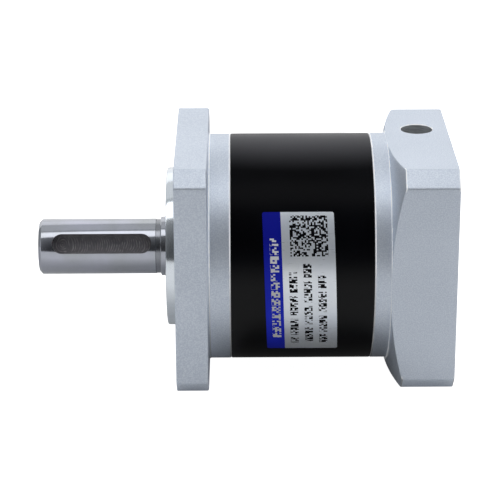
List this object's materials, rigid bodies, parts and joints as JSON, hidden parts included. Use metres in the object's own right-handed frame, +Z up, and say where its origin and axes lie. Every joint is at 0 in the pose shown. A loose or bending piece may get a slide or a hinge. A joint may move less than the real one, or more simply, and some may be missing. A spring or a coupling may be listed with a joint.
{
  "type": "planetary gearbox",
  "caption": "Planetary reduction gearbox: square output flange with pilot and keyed shaft, round black ring gear case, square motor adapter with a clamping input hub.",
  "frame": {"origin": "on the common axis, midway between the tip of the output shaft and the motor face, which is the centre of the bounding box", "axes": "the common axis lies along X with the output shaft pointing to -X; +Z is up, out of the adapter face with the clamp screw's access hole; +Y points away from the label side"},
  "size_m": [0.1036, 0.058, 0.058],
  "materials": {
    "cast_aluminium": "bead blasted",
    "black_steel": "black, satin",
    "ground_steel": "ground",
    "gear_steel": "hobbed and oiled",
    "spring_steel": "oil blackened",
    "bronze": "sintered",
    "black_rubber": "moulded",
    "label_foil": "printed film"
  },
  "bodies": {
    "housing": {"front_housing": "cast_aluminium", "ring_gear_case": "black_steel", "motor_adapter": "cast_aluminium", "case_label": "label_foil", "output_oil_seal": "black_rubber", "planet_thrust_plate": "spring_steel", "front_output_bearing_outer_race": "ground_steel", "rear_output_bearing_outer_race": "ground_steel", "housing_snap_ring": "spring_steel", "input_bearing_outer_race": "ground_steel"},
    "output": {"output_shaft": "ground_steel", "front_output_bearing_inner_race": "ground_steel", "rear_output_bearing_inner_race": "ground_steel", "shaft_snap_ring": "spring_steel", "output_planet_pin_1": "ground_steel", "output_planet_pin_2": "ground_steel", "output_planet_pin_3": "ground_steel"},
    "first_stage": {"first_stage_carrier": "gear_steel", "output_sun_gear": "gear_steel", "first_stage_planet_pin_1": "ground_steel", "first_stage_planet_pin_2": "ground_steel", "first_stage_planet_pin_3": "ground_steel"},
    "input": {"input_hub": "gear_steel", "input_bearing_inner_race": "ground_steel", "clamp_ring": "gear_steel", "clamp_screw": "spring_steel"},
    "output_planet_1": {"output_planet_gear_1": "gear_steel", "output_planet_bush_1": "bronze"},
    "output_planet_2": {"output_planet_gear_2": "gear_steel", "output_planet_bush_2": "bronze"},
    "output_planet_3": {"output_planet_gear_3": "gear_steel", "output_planet_bush_3": "bronze"},
    "first_stage_planet_1": {"first_stage_planet_gear_1": "gear_steel", "first_stage_planet_bush_1": "bronze"},
    "first_stage_planet_2": {"first_stage_planet_gear_2": "gear_steel", "first_stage_planet_bush_2": "bronze"},
    "first_stage_planet_3": {"first_stage_planet_gear_3": "gear_steel", "first_stage_planet_bush_3": "bronze"},
    "front_output_bearing_cage": {"front_output_bearing_ball_cage": "ground_steel"},
    "rear_output_bearing_cage": {"rear_output_bearing_ball_cage": "ground_steel"},
    "input_bearing_cage": {"input_bearing_ball_cage": "ground_steel"}
  },
  "joints": [
    {"name": "output_turn", "type": "hinge", "parent": "housing", "child": "output", "pos_m": [-0.01675, 0, 0], "axis": [1, 0, 0], "continuous": true},
    {"name": "first_stage_turn", "type": "hinge", "parent": "housing", "child": "first_stage", "pos_m": [0.02025, 0, 0], "axis": [1, 0, 0], "continuous": true},
    {"name": "input_turn", "type": "hinge", "parent": "housing", "child": "input", "pos_m": [0.03325, 0, 0], "axis": [1, 0, 0], "continuous": true},
    {"name": "output_planet_1_turn", "type": "hinge", "parent": "output", "child": "output_planet_1", "pos_m": [0.01175, 0, 0.015], "axis": [1, 0, 0], "continuous": true},
    {"name": "output_planet_2_turn", "type": "hinge", "parent": "output", "child": "output_planet_2", "pos_m": [0.01175, -0.01299, -0.0075], "axis": [1, 0, 0], "continuous": true},
    {"name": "output_planet_3_turn", "type": "hinge", "parent": "output", "child": "output_planet_3", "pos_m": [0.01175, 0.01299, -0.0075], "axis": [1, 0, 0], "continuous": true},
    {"name": "first_stage_planet_1_turn", "type": "hinge", "parent": "first_stage", "child": "first_stage_planet_1", "pos_m": [0.02435, 0, 0.0135], "axis": [1, 0, 0], "continuous": true},
    {"name": "first_stage_planet_2_turn", "type": "hinge", "parent": "first_stage", "child": "first_stage_planet_2", "pos_m": [0.02435, -0.01169, -0.00675], "axis": [1, 0, 0], "continuous": true},
    {"name": "first_stage_planet_3_turn", "type": "hinge", "parent": "first_stage", "child": "first_stage_planet_3", "pos_m": [0.02435, 0.01169, -0.00675], "axis": [1, 0, 0], "continuous": true},
    {"name": "front_output_bearing_cage_turn", "type": "hinge", "parent": "housing", "child": "front_output_bearing_cage", "pos_m": [-0.01025, 0, 0], "axis": [1, 0, 0], "continuous": true},
    {"name": "rear_output_bearing_cage_turn", "type": "hinge", "parent": "housing", "child": "rear_output_bearing_cage", "pos_m": [-0.00285, 0, 0], "axis": [1, 0, 0], "continuous": true},
    {"name": "input_bearing_cage_turn", "type": "hinge", "parent": "housing", "child": "input_bearing_cage", "pos_m": [0.03225, 0, 0], "axis": [1, 0, 0], "continuous": true}
  ],
  "couplings": [
    {"joint": "first_stage_turn", "follows": "output_turn", "ratio": 5},
    {"joint": "input_turn", "follows": "output_turn", "ratio": 50},
    {"joint": "output_planet_1_turn", "follows": "output_turn", "ratio": -2.6667},
    {"joint": "output_planet_2_turn", "follows": "output_turn", "ratio": -2.6667},
    {"joint": "output_planet_3_turn", "follows": "output_turn", "ratio": -2.6667},
    {"joint": "first_stage_planet_1_turn", "follows": "output_turn", "ratio": -11.25},
    {"joint": "first_stage_planet_2_turn", "follows": "output_turn", "ratio": -11.25},
    {"joint": "first_stage_planet_3_turn", "follows": "output_turn", "ratio": -11.25},
    {"joint": "front_output_bearing_cage_turn", "follows": "output_turn", "ratio": 0.40698},
    {"joint": "rear_output_bearing_cage_turn", "follows": "output_turn", "ratio": 0.43269},
    {"joint": "input_bearing_cage_turn", "follows": "output_turn", "ratio": 20.139}
  ]
}
